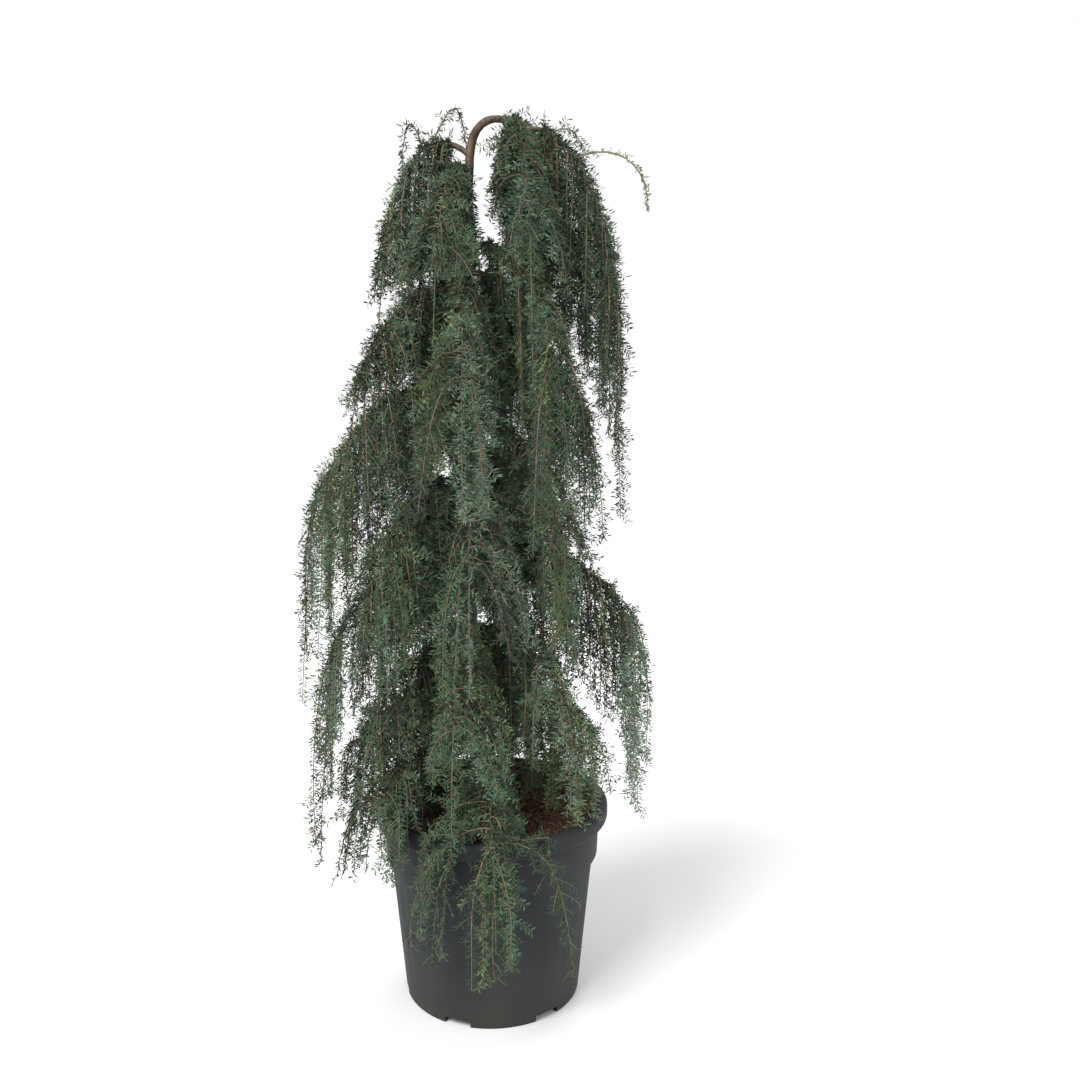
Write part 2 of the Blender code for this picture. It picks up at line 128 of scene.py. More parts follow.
def mottle_group():
    """A shader group: two colours dealt out by soft noise, with a grain for bump and roughness."""
    group = bpy.data.node_groups.new("mottle", "ShaderNodeTree")
    sockets = group.interface
    for name, kind in (("First", "Color"), ("Second", "Color"), ("Size", "Float"), ("Grain", "Float")):
        sockets.new_socket(name, in_out="INPUT", socket_type="NodeSocket" + kind)
    for name, kind in (("Colour", "Color"), ("Height", "Float"), ("Roughness", "Float")):
        sockets.new_socket(name, in_out="OUTPUT", socket_type="NodeSocket" + kind)
    nodes, link = group.nodes, group.links.new
    given, out = nodes.new("NodeGroupInput"), nodes.new("NodeGroupOutput")
    place = nodes.new("ShaderNodeTexCoord")
    soft, fine = nodes.new("ShaderNodeTexNoise"), nodes.new("ShaderNodeTexNoise")
    soft.inputs["Detail"].default_value = 4
    fine.inputs["Detail"].default_value = 6
    for texture, scale in ((soft, "Size"), (fine, "Grain")):
        link(place.outputs["Object"], texture.inputs["Vector"])
        link(given.outputs[scale], texture.inputs["Scale"])
    contrast = nodes.new("ShaderNodeMapRange")
    contrast.inputs["From Min"].default_value = 0.35
    contrast.inputs["From Max"].default_value = 0.68
    link(soft.outputs["Fac"], contrast.inputs["Value"])
    mix = nodes.new("ShaderNodeMix")
    mix.data_type = "RGBA"
    link(contrast.outputs["Result"], mix.inputs["Factor"])
    link(given.outputs["First"], mix.inputs["A"])
    link(given.outputs["Second"], mix.inputs["B"])
    rough = nodes.new("ShaderNodeMapRange")
    rough.inputs["To Min"].default_value = 0.45
    rough.inputs["To Max"].default_value = 0.85
    link(fine.outputs["Fac"], rough.inputs["Value"])
    link(mix.outputs["Result"], out.inputs["Colour"])
    link(fine.outputs["Fac"], out.inputs["Height"])
    link(rough.outputs["Result"], out.inputs["Roughness"])
    return group


MOTTLE = mottle_group()


def mottled(name, first, second, size, grain, bump, bump_depth=0.001):
    """A material of two mottled colours with a fine relief."""
    material = bpy.data.materials.new(name)
    material.use_nodes = True
    nodes, link = material.node_tree.nodes, material.node_tree.links.new
    surface = nodes["Principled BSDF"]
    pattern = nodes.new("ShaderNodeGroup")
    pattern.node_tree = MOTTLE
    pattern.inputs["First"].default_value = (*first, 1)
    pattern.inputs["Second"].default_value = (*second, 1)
    pattern.inputs["Size"].default_value = size
    pattern.inputs["Grain"].default_value = grain
    relief = nodes.new("ShaderNodeBump")
    relief.inputs["Strength"].default_value = bump
    relief.inputs["Distance"].default_value = bump_depth
    link(pattern.outputs["Colour"], surface.inputs["Base Color"])
    link(pattern.outputs["Roughness"], surface.inputs["Roughness"])
    link(pattern.outputs["Height"], relief.inputs["Height"])
    link(relief.outputs["Normal"], surface.inputs["Normal"])
    return material


def keep(piece, material, slot, *nodes):
    """Gives a finished piece its material, and makes it stand for its solids. Its slot is not used."""
    piece.data.materials.clear()
    piece.data.materials.append(material)
    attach(piece, "root")
    if nodes:
        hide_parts(*nodes)


def pot_outline():
    """Radius and height from the channel under the pot, up its outside, over its lip and down inside."""
    lip_foot = POT_HEIGHT - LIP_HEIGHT
    collar_top = RIM_RADIUS - LIP_PROUD
    collar_foot = collar_top - COLLAR_DRAFT
    step_height = lip_foot - COLLAR_HEIGHT
    body_top = collar_foot - STEP
    outline = [(0.0, 0.0), (FLOOR_RADIUS - 0.004, 0.0), (FLOOR_RADIUS - 0.002, 0.0015)]
    outline += [(FLOOR_RADIUS, CHANNEL_HEIGHT), (FOOT_RADIUS - FOOT_RING, CHANNEL_HEIGHT)]
    outline += [(FOOT_RADIUS - FOOT_RING + 0.001, 0.0), (FOOT_RADIUS - 0.0015, 0.0)]
    outline.append((FOOT_RADIUS, FOOT_ROUND))
    for part in np.linspace(0, 1, BODY_RINGS)[1:]:
        radius = FOOT_RADIUS + (body_top - FOOT_RADIUS) * part
        outline.append((radius, FOOT_ROUND + (step_height - 0.005) * part))
    outline += [(collar_foot - 0.003, step_height - 0.0012), (collar_foot - 0.0006, step_height + 0.0006)]
    outline += [(collar_foot, step_height + 0.002), (collar_top, lip_foot - 0.001)]
    outline += [(collar_top + 0.001, lip_foot), (RIM_RADIUS - 0.004, lip_foot + 0.0008)]
    outline += [(RIM_RADIUS - 0.001, lip_foot + 0.003), (RIM_RADIUS, lip_foot + 0.007)]
    for turn in np.radians(np.linspace(0, 90, LIP_RINGS)):
        away, lift = LIP_ROUND * math.cos(turn), LIP_ROUND * math.sin(turn)
        outline.append((RIM_RADIUS - LIP_ROUND + away, POT_HEIGHT - LIP_ROUND + lift))
    outline += [(RIM_RADIUS - 0.0135, POT_HEIGHT - 0.0008), (RIM_RADIUS - 0.0150, POT_HEIGHT - 0.0030)]
    outline += [(collar_top - WALL, lip_foot), (body_top - WALL, step_height - 0.006)]
    outline += [(FOOT_RADIUS - WALL, FLOOR), (0.0, FLOOR)]
    return outline


def pot_mesh():
    """The pot as one turned wall with flutes pressed in its body."""
    turns = np.linspace(0, 2 * np.pi, POT_SIDES, endpoint=False)
    groove = np.clip(np.cos(turns * FLUTES) * 3 - 2, 0, 1)
    rings = []
    for radius, height in pot_outline():
        fade = np.clip((FLUTE_TOP - height) / FLUTE_TOP_FADE, 0, 1)
        fade = fade * np.clip((height - FLUTE_FOOT) / FLUTE_FOOT_FADE, 0, 1)
        pressed = radius - groove * FLUTE_DEPTH * fade
        rings.append(np.stack([pressed * np.cos(turns), pressed * np.sin(turns), turns * 0 + height], -1))
    return mesh_object("pot_shell", np.concatenate(rings), grid_faces(len(rings), POT_SIDES))


def weld(piece):
    """Merges the points at the poles and turns all faces outwards."""
    bpy.context.view_layer.objects.active = piece
    for each in bpy.context.selected_objects:
        each.select_set(False)
    piece.select_set(True)
    bpy.ops.object.mode_set(mode="EDIT")
    bpy.ops.mesh.select_all(action="SELECT")
    bpy.ops.mesh.remove_doubles(threshold=MERGE)
    bpy.ops.mesh.normals_make_consistent(inside=False)
    bpy.ops.object.mode_set(mode="OBJECT")


def cut_notches(piece):
    """Cuts the drain notches in the foot ring."""
    for index in range(NOTCHES):
        turn = NOTCH_TURN + 2 * math.pi * index / NOTCHES
        middle = FOOT_RADIUS - FOOT_RING * NOTCH_INSET
        bpy.ops.mesh.primitive_cube_add(size=1)
        cutter = bpy.context.object
        place = Matrix.Translation((middle * math.cos(turn), middle * math.sin(turn), 0))
        size = Matrix.Diagonal((*NOTCH_SIZE, 1))
        cutter.data.transform(place @ Matrix.Rotation(turn, 4, "Z") @ size)
        cutter.location = (0, 0, 0)
        cut = piece.modifiers.new("notch", "BOOLEAN")
        cut.operation = "DIFFERENCE"
        cut.object = cutter
        view = bpy.context.evaluated_depsgraph_get()
        mesh = bpy.data.meshes.new_from_object(piece.evaluated_get(view))
        piece.modifiers.clear()
        piece.data = mesh
        bpy.data.objects.remove(cutter, do_unlink=True)


def pot_material():
    """Dark slate plastic, with dry olive dust that gathers towards the foot."""
    material = mottled("pot_plastic", POT_DARK, POT_PALE, 9.0, 900.0, 0.15, 0.0006)
    nodes, link = material.node_tree.nodes, material.node_tree.links.new
    surface = nodes["Principled BSDF"]
    pattern = next(node for node in nodes if node.type == "GROUP")
    place, split = nodes.new("ShaderNodeTexCoord"), nodes.new("ShaderNodeSeparateXYZ")
    streak, stretch = nodes.new("ShaderNodeTexNoise"), nodes.new("ShaderNodeMapping")
    low, amount = nodes.new("ShaderNodeMapRange"), nodes.new("ShaderNodeMath")
    dusty = nodes.new("ShaderNodeMix")
    stretch.inputs["Scale"].default_value = (1, 1, 0.25)
    streak.inputs["Scale"].default_value = 14
    streak.inputs["Detail"].default_value = 5
    low.inputs["From Min"].default_value = DUST_HEIGHT
    low.inputs["From Max"].default_value = 0.0
    low.inputs["To Max"].default_value = 0.9
    low.inputs["To Min"].default_value = 0.12
    amount.operation = "MULTIPLY"
    dusty.data_type = "RGBA"
    dusty.inputs["B"].default_value = (*DUST, 1)
    surface.inputs["Specular IOR Level"].default_value = 0.3
    link(place.outputs["Object"], split.inputs["Vector"])
    link(place.outputs["Object"], stretch.inputs["Vector"])
    link(stretch.outputs["Vector"], streak.inputs["Vector"])
    link(split.outputs["Z"], low.inputs["Value"])
    link(low.outputs["Result"], amount.inputs[0])
    link(streak.outputs["Fac"], amount.inputs[1])
    link(amount.outputs["Value"], dusty.inputs["Factor"])
    link(pattern.outputs["Colour"], dusty.inputs["A"])
    link(dusty.outputs["Result"], surface.inputs["Base Color"])
    return material


pot_shell = pot_mesh()
weld(pot_shell)
cut_notches(pot_shell)
pot_shell.data.set_sharp_from_angle(angle=math.radians(40))
keep(pot_shell, pot_material(), "pot_plastic", "pot")

# The compost
# Coarse composted bark with tan coir fibres, filled to just under the rim and heaped at the back.
# Its crust is a rough mesh, with loose chips and fibres lying on it.

SOIL_BELOW_RIM = 0.016
SOIL_CROWN = 0.008
SOIL_HEAP = 0.027
HEAP_AT = (0.062, 0.128)
HEAP_WIDTH = 0.075
SOIL_RADIUS = RIM_RADIUS - 0.0178
SOIL_ROUGH = 0.0035
SOIL_ROUGH_SCALE = 90
SOIL_RINGS = 70
SOIL_SIDES = 160
CRUST_DEPTH = 0.08
CRUST_FOOT = 0.170
CHIPS = 2600
FIBRES = 900
LITTER_REACH = 0.965
LITTER_LIFT = (0.0003, 0.0030)


def soil_height(x, y):
    """How high the compost stands at a place."""
    edge = np.minimum(1.0, np.hypot(x, y) / (RIM_RADIUS - LIP_PROUD))
    heap = np.exp(-((x - HEAP_AT[0]) ** 2 + (y - HEAP_AT[1]) ** 2) / HEAP_WIDTH**2)
    mound = SOIL_CROWN * (1 - edge**2) + SOIL_HEAP * heap * (1 - edge**8)
    return POT_HEIGHT - SOIL_BELOW_RIM + mound


def crust():
    """The compost's rough top, closed underneath."""
    turns = np.linspace(0, 2 * np.pi, SOIL_SIDES, endpoint=False)
    bottom = turns * 0 + POT_HEIGHT - CRUST_DEPTH
    rings = [np.stack([turns * 0, turns * 0, bottom], -1)]
    rings.append(np.stack([CRUST_FOOT * np.cos(turns), CRUST_FOOT * np.sin(turns), bottom], -1))
    for part in np.linspace(1, 0, SOIL_RINGS):
        x, y = SOIL_RADIUS * part * np.cos(turns), SOIL_RADIUS * part * np.sin(turns)
        spots = [Vector((a * SOIL_ROUGH_SCALE, b * SOIL_ROUGH_SCALE, 3)) for a, b in zip(x, y)]
        rough = [noise.fractal(spot, 0.8, 2.1, 4) for spot in spots]
        lift = np.array(rough) * SOIL_ROUGH if part > 0 else rough[0] * SOIL_ROUGH
        rings.append(np.stack([x, y, soil_height(x, y) + lift - 0.001], -1))
    made = mesh_object("compost_crust", np.concatenate(rings), grid_faces(len(rings), SOIL_SIDES))
    weld(made)
    return made


def litter(name, count, length, width, luck):
    """Loose slivers lying every way on the compost, each a bent strip with some thickness."""
    away = SOIL_RADIUS * LITTER_REACH * np.sqrt(luck.uniform(0, 1, count))
    turn = luck.uniform(0, 2 * np.pi, count)
    x, y = away * np.cos(turn), away * np.sin(turn)
    middle = np.stack([x, y, soil_height(x, y) + luck.uniform(*LITTER_LIFT, count)], -1)
    yaw, pitch = luck.uniform(0, 2 * np.pi, count), luck.normal(0, 0.28, count)
    along = np.stack([np.cos(yaw) * np.cos(pitch), np.sin(yaw) * np.cos(pitch), np.sin(pitch)], -1)
    side = np.stack([-np.sin(yaw), np.cos(yaw), luck.normal(0, 0.4, count)], -1)
    side /= np.linalg.norm(side, axis=1, keepdims=True)
    half = (length * luck.uniform(0.5, 1.3, count) / 2)[:, None]
    flank = (width * luck.uniform(0.5, 1.4, count) / 2)[:, None]
    rise = np.array((0, 0, 1.0)) * flank * 0.7
    bend = side * half * luck.normal(0, 0.25, count)[:, None]
    ends = [middle - along * half, middle + bend, middle + along * half]
    points = []
    for place, size in zip(ends, (0.5, 1.0, 0.4)):
        points += [place - side * flank * size, place + rise * size, place + side * flank * size]
    points = np.stack(points, 1)
    faces = [(2, 1, 0), (6, 7, 8)]
    for low in (0, 3):
        for corner in range(3):
            after = (corner + 1) % 3
            faces.append((low + corner, low + after, low + 3 + after))
            faces.append((low + corner, low + 3 + after, low + 3 + corner))
    offsets = np.arange(count)[:, None, None] * 9
    return mesh_object(name, points.reshape(-1, 3), (np.array(faces)[None] + offsets).reshape(-1, 3), False)


luck = np.random.default_rng(11)
soil = mottled("compost_crust", (0.030, 0.014, 0.008), (0.085, 0.036, 0.018), 160.0, 500.0, 0.8, 0.002)
chip = mottled("bark_chips", (0.050, 0.020, 0.011), (0.150, 0.062, 0.030), 90.0, 700.0, 0.5)
fibre = mottled("coir_fibres", (0.21, 0.115, 0.055), (0.34, 0.21, 0.115), 60.0, 900.0, 0.3)
keep(crust(), soil, "compost", "compost")
keep(litter("bark_chips", CHIPS, 0.011, 0.0042, luck), chip, "compost")
keep(litter("coir_fibres", FIBRES, 0.022, 0.0011, luck), fibre, "compost")

# The trunk and the boughs
# One thin brown trunk, flared at its foot, which climbs with a slight lean and bends over in an arch
# at its top. The boughs leave it and arch out and down. Their bark is thin, scaly and furrowed.

# The trunk line: how far above the compost, and where it is to the right and to the back.
TRUNK_LINE = (
    (0.000, -0.022, 0.004),
    (0.090, -0.026, 0.002),
    (0.260, -0.033, -0.002),
    (0.450, -0.040, 0.002),
    (0.640, -0.036, 0.004),
    (0.830, -0.039, -0.001),
    (0.970, -0.037, 0.000),
    (1.080, -0.030, 0.001),
)
ARCH_RISE = 0.058
ARCH_REACH = 0.098
ARCH_FALL = 0.034
ARCH_STEPS = 6
TRUNK_RADIUS = 0.0125
TRUNK_NECK = 0.0070
ARCH_TIP_RADIUS = 0.0040
FLARE = 0.0125
FLARE_HEIGHT = 0.030
BARK_DEPTH = 0.0009
FURROW_SCALE = (260, 260, 70)
FURROW_TOP = 0.35
TRUNK_RINGS = 260
TRUNK_SIDES = 28
BOUGH_SHARE = 0.22
BOUGH_RADIUS = 0.0052
BOUGH_TIP = 0.0031
BOUGH_BARK = 0.6
BOUGH_RINGS = 16
BOUGH_SIDES = 12
HEADROOM = 0.026
OVERHANG = 0.020

# Each limb: its name, how far up the trunk it starts, its heading in degrees, reach, rise and drop,
# the half angle of its own space, and its count of side shoots. A heading of 0 is to the right and
# 270 is to the front.
LIMB_TABLE = (
    ("crown_left", 1.075, 178, 0.155, 0.062, 0.345, 50, 11),
    ("crown_front", 1.035, 256, 0.145, 0.050, 0.300, 42, 11),
    ("crown_back", 1.020, 110, 0.155, 0.050, 0.300, 34, 10),
    ("arch_front", 1.175, 290, 0.140, 0.020, 0.320, 50, 11),
    ("arch_right", 1.195, 350, 0.170, 0.024, 0.420, 30, 10),
    ("arch_back", 1.165, 56, 0.155, 0.022, 0.340, 50, 10),
    ("upper_front", 0.880, 276, 0.195, 0.034, 0.360, 36, 11),
    ("upper_front_right", 0.930, 320, 0.230, 0.034, 0.400, 30, 11),
    ("upper_right", 0.800, 4, 0.225, 0.030, 0.340, 32, 11),
    ("upper_back", 0.890, 56, 0.210, 0.030, 0.350, 38, 10),
    ("upper_back_left", 0.830, 118, 0.205, 0.030, 0.340, 40, 11),
    ("upper_left", 0.860, 210, 0.205, 0.030, 0.330, 40, 12),
    ("middle_left", 0.710, 177, 0.275, 0.026, 0.370, 34, 12),
    ("middle_front_left", 0.560, 228, 0.225, 0.026, 0.350, 32, 11),
    ("middle_front", 0.610, 278, 0.215, 0.026, 0.360, 36, 11),
    ("middle_front_right", 0.650, 322, 0.235, 0.030, 0.360, 32, 11),
    ("lower_right", 0.450, 358, 0.310, 0.028, 0.290, 32, 13),
    ("middle_back", 0.600, 52, 0.240, 0.028, 0.360, 40, 11),
    ("middle_back_left", 0.540, 118, 0.240, 0.028, 0.360, 40, 11),
    ("lower_left", 0.430, 180, 0.265, 0.024, 0.370, 36, 11),
    ("lower_front_left", 0.290, 226, 0.225, 0.022, 0.260, 32, 10),
    ("lower_front", 0.320, 270, 0.220, 0.022, 0.290, 36, 11),
    ("lower_front_right", 0.360, 318, 0.245, 0.024, 0.300, 32, 10),
    ("base_right", 0.200, 8, 0.235, 0.020, 0.190, 34, 7),
    ("base_back", 0.290, 88, 0.240, 0.022, 0.260, 66, 12),
    ("base_left", 0.170, 184, 0.230, 0.024, 0.170, 34, 10),
    ("skirt_left", 0.110, 232, 0.245, 0.026, 0.150, 28, 11),
    ("skirt_front", 0.105, 284, 0.262, 0.028, 0.250, 36, 12),
)
UP = np.array((0, 0, 1.0))


def heading(degrees):
    """The level direction of a heading."""
    turn = math.radians(degrees)
    return np.array((math.cos(turn), math.sin(turn), 0))


def unit(vectors):
    """The same directions with a length of one."""
    return vectors / np.maximum(np.linalg.norm(vectors, axis=-1, keepdims=True), 1e-9)


def arch(share, reach, rise, drop):
    """How far out and up a limb or shoot is at a share of its way, rising first and hanging at its end."""
    angle = share * np.pi / 2
    return reach * np.sin(angle), rise * np.sin(np.pi * share) - drop * (1 - np.cos(angle))


SEAT = np.array((*TRUNK_LINE[0][1:], soil_height(TRUNK_LINE[0][1], TRUNK_LINE[0][2])))


def trunk_line():
    """Points up the trunk and over its arch, and the trunk's radius at each."""
    middles, radii = [], []
    for height, x, y in TRUNK_LINE:
        middles.append((x, y, SEAT[2] + height))
        radii.append(TRUNK_RADIUS + (TRUNK_NECK - TRUNK_RADIUS) * height / TRUNK_LINE[-1][0])
    neck = np.array(middles[-1])
    for step in range(1, ARCH_STEPS + 1):
        part = step / ARCH_STEPS
        forward = ARCH_REACH * (1 - math.cos(math.pi * part)) / 2
        lift = ARCH_RISE * math.sin(math.pi * part) - ARCH_FALL * part**2
        middles.append(neck + (forward, 0, lift))
        radii.append(TRUNK_NECK + (ARCH_TIP_RADIUS - TRUNK_NECK) * part)
    return np.array(middles), np.array(radii)


TRUNK, TRUNK_RADII = trunk_line()
TRUNK_LENGTHS = np.concatenate([[0], np.cumsum(np.linalg.norm(np.diff(TRUNK, axis=0), axis=1))])


def trunk_at(distance):
    """The middle of the trunk at a distance along it from the compost."""
    return np.array([np.interp(distance, TRUNK_LENGTHS, TRUNK[:, axis]) for axis in range(3)])


class Limb:
    """A bough and the stem of its foliage, which share one arching line from the trunk."""

    def __init__(self, row):
        self.name, start, self.turn, self.reach, self.rise, self.drop, self.spread, self.shoots = row
        self.base = trunk_at(start)
        self.out = heading(self.turn)

    def point(self, share):
        """Points on the limb at shares of its way."""
        away, lift = arch(np.asarray(share, float), self.reach, self.rise, self.drop)
        return self.base + self.out * away[..., None] + UP * lift[..., None]

    def covers(self, points, grow):
        """Which points are under this limb's umbrella, grown on every side."""
        offset = points - self.base
        radius = np.hypot(offset[:, 0], offset[:, 1])
        edge = self.reach + OVERHANG + grow
        across = np.abs(offset[:, 0] * self.out[1] - offset[:, 1] * self.out[0])
        inside = (radius < edge) & (offset @ self.out >= 0)
        inside &= across <= radius * math.sin(math.radians(self.spread)) + grow
        share = np.arcsin(np.minimum(radius / edge, 1)) * 2 / np.pi
        return inside & (offset[:, 2] < arch(share, edge, self.rise, self.drop)[1] + HEADROOM + grow)


LIMBS = [Limb(row) for row in LIMB_TABLE]


def frames(middles):
    """The directions along a line of points, and two across it."""
    along = unit(np.gradient(middles, axis=0))
    across = np.zeros_like(along)
    last = np.array((0.0, 1.0, 0.0)) if abs(along[0, 1]) < 0.9 else np.array((1.0, 0.0, 0.0))
    for index, way in enumerate(along):
        last = unit(last - way * (last @ way))
        across[index] = last
    return along, across, np.cross(along, across)


def bark_tube(middles, radii, sides, depth):
    """Points and quads of a limb with furrows and scales pressed into its bark."""
    _, across, other = frames(middles)
    turns = np.linspace(0, 2 * np.pi, sides, endpoint=False)
    points = []
    for middle, a, b, radius in zip(middles, across, other, radii):
        for turn in turns:
            way = a * math.cos(turn) + b * math.sin(turn)
            spot = middle + way * radius
            furrow = noise.fractal(Vector(spot * FURROW_SCALE), 0.9, 2.2, 3)
            points.append(spot + way * depth * min(furrow, FURROW_TOP))
    faces = grid_faces(len(middles), sides)
    ends = np.array([middles[0], middles[-1]])
    base = len(points)
    last = (len(middles) - 1) * sides
    step = np.arange(sides)
    foot = np.stack([step * 0 + base, (step + 1) % sides, step, step * 0 + base], -1)
    tip = np.stack([step * 0 + base + 1, last + step, last + (step + 1) % sides, step * 0 + base + 1], -1)
    triangles = np.concatenate([faces[:, [0, 1, 2]], faces[:, [0, 2, 3]], foot[:, :3], tip[:, :3]])
    return np.concatenate([np.array(points), ends]), triangles


def resample(middles, radii, count):
    """The same limb with more points along it, on a smooth line."""
    lengths = np.concatenate([[0], np.cumsum(np.linalg.norm(np.diff(middles, axis=0), axis=1))])
    at = np.linspace(0, lengths[-1], count)
    smooth = np.stack([np.interp(at, lengths, middles[:, axis]) for axis in range(3)], -1)
    window = np.ones(5) / 5
    for axis in range(3):
        padded = np.pad(smooth[:, axis], 2, mode="edge")
        smooth[:, axis] = np.convolve(padded, window, mode="valid")
    return smooth, np.interp(at, lengths, radii)


def join(parts):
    """Several sets of points and faces as one."""
    points, faces, start = [], [], 0
    for some_points, some_faces in parts:
        points.append(some_points)
        faces.append(some_faces + start)
        start += len(some_points)
    return np.concatenate(points), np.concatenate(faces)


def trunk_bark():
    """The trunk's bark, with the root flare in three lobes at its foot."""
    middles, radii = resample(TRUNK, TRUNK_RADII, TRUNK_RINGS)
    points, faces = bark_tube(middles, radii, TRUNK_SIDES, BARK_DEPTH)
    height = points[:, 2] - SEAT[2]
    offset = points[:, :2] - SEAT[:2]
    turn = np.arctan2(offset[:, 1], offset[:, 0])
    swell = FLARE * (1 + 0.30 * np.cos(3 * turn)) * np.clip(1 - height / FLARE_HEIGHT, 0, 1) ** 2
    distance = np.hypot(offset[:, 0], offset[:, 1])
    near = (height < FLARE_HEIGHT) & (distance > TRUNK_RADIUS * 0.5)
    points[:, :2] += np.where(near, swell / np.maximum(distance, 1e-6), 0)[:, None] * offset
    return points, faces


def bough_bark(limb):
    """A bough's bark, from the trunk to where its foliage starts."""
    middles = limb.point(np.linspace(0, BOUGH_SHARE, BOUGH_RINGS))
    radii = np.linspace(BOUGH_RADIUS, BOUGH_TIP, BOUGH_RINGS)
    return bark_tube(middles, radii, BOUGH_SIDES, BARK_DEPTH * BOUGH_BARK)


bark_points, bark_faces = join([trunk_bark()] + [bough_bark(limb) for limb in LIMBS])
bark = mottled("bark", (0.060, 0.036, 0.022), (0.185, 0.118, 0.074), 120.0, 420.0, 0.7, 0.0012)
bark_piece = mesh_object("bark", bark_points, bark_faces)
keep(bark_piece, bark, "bark", "trunk", *("bough_" + limb.name for limb in LIMBS))

# The shoots
# Thin brown shoots hang from each bough's own stem, and carry side twigs in two rows that point
# towards the tip. They follow the rule that spreads the solids' shoots, carried to finer twigs, and
# keep to the same spaces: under their own limb's umbrella and above the next one.

CLEAR = 0.0022
TRUNK_CLEAR = 0.006
GOLDEN = 0.6180
SILVER = 0.7549
MORE_SHOOTS = 4.2
SHOOT_STEP = 0.018
SHORTEST = 0.060
ASIDE = 0.97
NEAREST = 0.20
FURTHER = 0.82
STEM_START = 0.7
STEM_LATE = 0.42
STEM_SLOPE = 0.88
SHOOT_RISE = 0.022
SHOOT_DROP = (0.60, 1.06)
SHOOT_RADIUS = 0.0014
SHOOT_TAPER = (1.25, 0.45)
WAVER = 0.004
WAVER_TURNS = (7.0, 9.0, 5.0)
LIES_ABOVE = 0.007
TWIST = 0.9
TWIG_PITCH = 0.0130
TWIG_LENGTH = 0.046
TWIG_RADIUS = 0.0006
TWIG_TAPER = (0.8, 0.5)
SHOOT_END = 0.93
PAST_BOX = 0.002
WHIP_WAVER = 0.002
WHIP_TWIGS = 0.45
THIRDS = (0.0, 2.094, 4.189)
SLANT = np.array((0.31, 0.74, 0.60))

# Each whip, a lone shoot that stands out of the crown: its limb, how far along that limb it leaves,
# its heading in degrees, reach, rise and drop.
WHIP_TABLE = (
    ("crown_left", 0.26, 12, 0.055, 0.060, 0.016),
    ("crown_left", 0.32, 172, 0.036, 0.050, 0.034),
    ("arch_right", 0.36, 6, 0.115, 0.022, 0.080),
    ("arch_back", 0.34, 12, 0.080, 0.034, 0.020),
)


def off_trunk(points):
    """Which points are clear of the trunk."""
    clear = np.ones(len(points), bool)
    for low, high, radius in zip(TRUNK, TRUNK[1:], TRUNK_RADII):
        along = high - low
        part = np.clip((points - low) @ along / (along @ along), 0, 1)
        clear &= np.linalg.norm(points - low - along * part[:, None], axis=1) > radius + TRUNK_CLEAR
    return clear


def in_own_space(limb, points, is_whip=False):
    """Which points are free for a limb's foliage."""
    free = np.ones(len(points), bool) if is_whip else limb.covers(points, -CLEAR)
    for other in LIMBS:
        if other.base[2] < limb.base[2]:
            free &= ~other.covers(points, CLEAR)
    ground = np.maximum(POT_HEIGHT, soil_height(points[:, 0], points[:, 1])) + CLEAR
    over_pot = np.hypot(points[:, 0], points[:, 1]) < RIM_RADIUS + CLEAR
    free &= ~(over_pot & (points[:, 2] < ground))
    return free & off_trunk(points)


def hang(base, turn, reach, rise, drop, luck, wobble=WAVER):
    """The line of a shoot from its base to its tip, which wavers and lies on the pot where it meets it."""
    count = max(4, int((reach * 0.7 + rise + drop) / SHOOT_STEP) + 1)
    share = np.linspace(0, 1, count)
    away, lift = arch(share, reach, rise, drop)
    line = base + heading(turn) * away[:, None] + UP * lift[:, None]
    phase = luck.uniform(0, 2 * np.pi, 3)
    waver = np.sin(share[:, None] * np.array(WAVER_TURNS) + phase) - np.sin(phase)
    line = line + waver * wobble * share[:, None]
    over_pot = np.hypot(line[:, 0], line[:, 1]) < RIM_RADIUS + LIES_ABOVE
    ground = np.maximum(POT_HEIGHT, soil_height(line[:, 0], line[:, 1])) + LIES_ABOVE
    line[:, 2] = np.where(over_pot, np.maximum(line[:, 2], ground), line[:, 2])
    return line


def shoots_of(limb):
    """The lines of a limb's stem, its hanging shoots and its whips, each with the way that it faces."""
    luck = np.random.default_rng(sum(ord(letter) * (place + 1) for place, letter in enumerate(limb.name)))
    stem = limb.point(np.linspace(BOUGH_SHARE, 1, max(6, int((limb.reach + limb.drop) / SHOOT_STEP))))
    found = [(stem, limb.out, False)]
    first = luck.random()
    for index in range(int(limb.shoots * MORE_SHOOTS)):
        aside = limb.spread * (2 * ((first + index * GOLDEN) % 1) - 1) * ASIDE
        away = NEAREST + FURTHER * ((first + index * SILVER) % 1)
        outwards = heading(limb.turn + aside)
        leaves = BOUGH_SHARE * STEM_START + STEM_SLOPE * max(0.0, away - STEM_LATE)
        base = limb.point(leaves)
        way = limb.base + outwards * limb.reach * away - base
        reach, turn = math.hypot(way[0], way[1]), math.degrees(math.atan2(way[1], way[0]))
        rise = luck.uniform(0.0, SHOOT_RISE)
        line = hang(base, turn, reach, rise, limb.drop * luck.uniform(*SHOOT_DROP), luck)
        free = in_own_space(limb, line)
        free[:2] = True
        stop = len(line) if free.all() else int(np.argmin(free))
        if (stop - 1) * SHOOT_STEP > SHORTEST:
            found.append((line[:stop], outwards, False))
    for name, share, turn, reach, rise, drop in WHIP_TABLE:
        if name == limb.name:
            line = hang(limb.point(share), turn, reach, rise, drop, luck, WHIP_WAVER)
            found.append((line, heading(turn), True))
    return found


